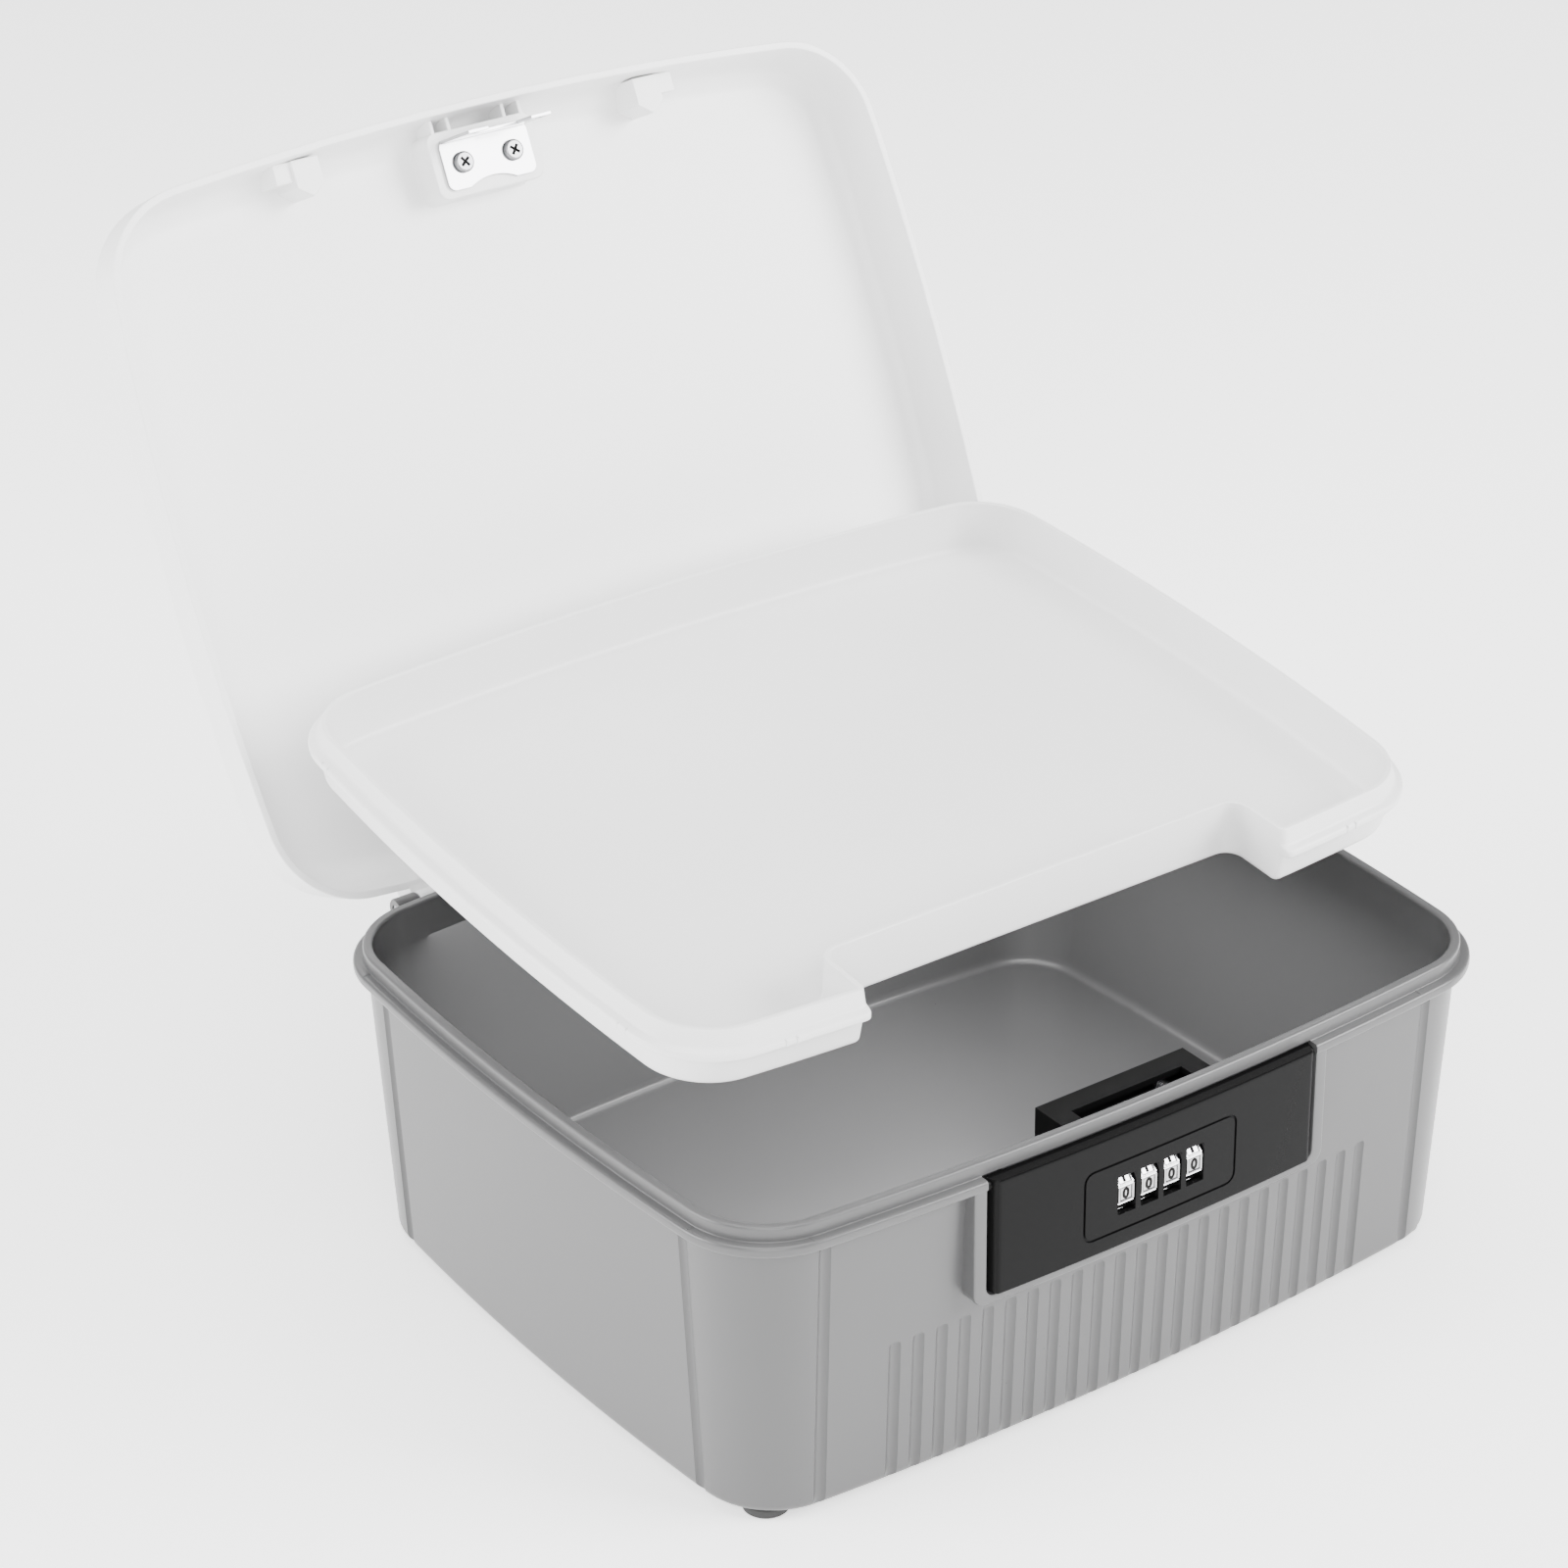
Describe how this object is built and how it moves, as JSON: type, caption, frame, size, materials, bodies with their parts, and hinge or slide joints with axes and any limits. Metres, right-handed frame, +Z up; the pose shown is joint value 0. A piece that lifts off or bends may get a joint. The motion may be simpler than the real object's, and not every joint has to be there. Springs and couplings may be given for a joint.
{
  "type": "combination lock box",
  "caption": "Household lock box: tapered plastic tub on rubber feet, hinged lid, lift-out tray, and a push panel with number wheels that frees the strike in the lid.",
  "frame": {"origin": "on the standing surface, under the middle of the tub", "axes": "+X runs along the front towards the lock's right, +Y from the front to the hinges at the back, +Z up"},
  "size_m": [0.3312, 0.4074, 0.349],
  "materials": {
    "grey_plastic": "satin moulded plastic",
    "white_plastic": "smooth moulded plastic",
    "tray_plastic": "smooth moulded plastic",
    "black_gloss": "semi-gloss",
    "black_plastic": "matte",
    "wheel_silver": "metallised plastic",
    "steel": "zinc plated",
    "chrome": "polished plate",
    "rubber": "matte rubber"
  },
  "bodies": {
    "tub": {"box_tub": "grey_plastic", "hinge_pin_right": "steel", "lock_housing": "black_plastic", "housing_screws": "steel", "panel_pin_left": "steel", "panel_pin_right": "steel", "catch_spring_left": "steel", "catch_spring_right": "steel", "foot_front_left": "rubber", "foot_front_right": "rubber", "foot_back_left": "rubber", "foot_back_right": "rubber"},
    "lid": {"lid": "white_plastic", "strike_plate": "chrome", "strike_screws": "steel"},
    "pin": {"hinge_pin_left": "steel"},
    "tray": {"tray": "tray_plastic"},
    "panel": {"lock_panel": "black_gloss", "wheel_cradle": "black_plastic", "cradle_screws": "steel", "wheel_axle": "steel", "detent_spring": "steel"},
    "wheel_1": {"number_wheel_1": "wheel_silver", "code_sleeve_1": "black_plastic"},
    "wheel_2": {"number_wheel_2": "wheel_silver", "code_sleeve_2": "black_plastic"},
    "wheel_3": {"number_wheel_3": "wheel_silver", "code_sleeve_3": "black_plastic"},
    "wheel_4": {"number_wheel_4": "wheel_silver", "code_sleeve_4": "black_plastic"},
    "catch": {"catch_slider": "black_plastic"},
    "reset": {"reset_slider": "black_plastic"}
  },
  "joints": [
    {"name": "lid_hinge", "type": "hinge", "parent": "tub", "child": "lid", "pos_m": [0, 0.1345, 0.1085], "axis": [1, 0, 0], "range_deg": [0, 115.6]},
    {"name": "pin_turn", "type": "hinge", "parent": "tub", "child": "pin", "pos_m": [0, 0.1345, 0.1085], "axis": [1, 0, 0], "range_deg": [0, 80.2]},
    {"name": "tray_lift", "type": "hinge", "parent": "pin", "child": "tray", "pos_m": [0, 0.114, 0.15852], "axis": [1, 0, 0], "range_deg": [-85.4, 0]},
    {"name": "panel_press", "type": "hinge", "parent": "tub", "child": "panel", "pos_m": [0, -0.12901, 0.1087], "axis": [1, 0, 0], "range_deg": [0, 3.2], "stiffness_Nm_per_rad": 0.5, "springref_deg": -4.58},
    {"name": "wheel_1_turn", "type": "hinge", "parent": "panel", "child": "wheel_1", "pos_m": [0, -0.1247, 0.0878], "axis": [1, 0, 0], "continuous": true},
    {"name": "wheel_2_turn", "type": "hinge", "parent": "panel", "child": "wheel_2", "pos_m": [0, -0.1247, 0.0878], "axis": [1, 0, 0], "continuous": true},
    {"name": "wheel_3_turn", "type": "hinge", "parent": "panel", "child": "wheel_3", "pos_m": [0, -0.1247, 0.0878], "axis": [1, 0, 0], "continuous": true},
    {"name": "wheel_4_turn", "type": "hinge", "parent": "panel", "child": "wheel_4", "pos_m": [0, -0.1247, 0.0878], "axis": [1, 0, 0], "continuous": true},
    {"name": "catch_slide", "type": "slide", "parent": "tub", "child": "catch", "axis": [0, 1, 0], "range_m": [0, 0.0022], "deforming": ["catch_spring_left", "catch_spring_right"]},
    {"name": "reset_slide", "type": "slide", "parent": "tub", "child": "reset", "axis": [1, 0, 0], "range_m": [0, 0.003]}
  ],
  "couplings": [
    {"joint": "pin_turn", "follows": "lid_hinge", "ratio": 0.69204},
    {"joint": "tray_lift", "follows": "lid_hinge", "ratio": -0.73702},
    {"joint": "catch_slide", "follows": "panel_press", "m_per_rad": 0.0357}
  ]
}
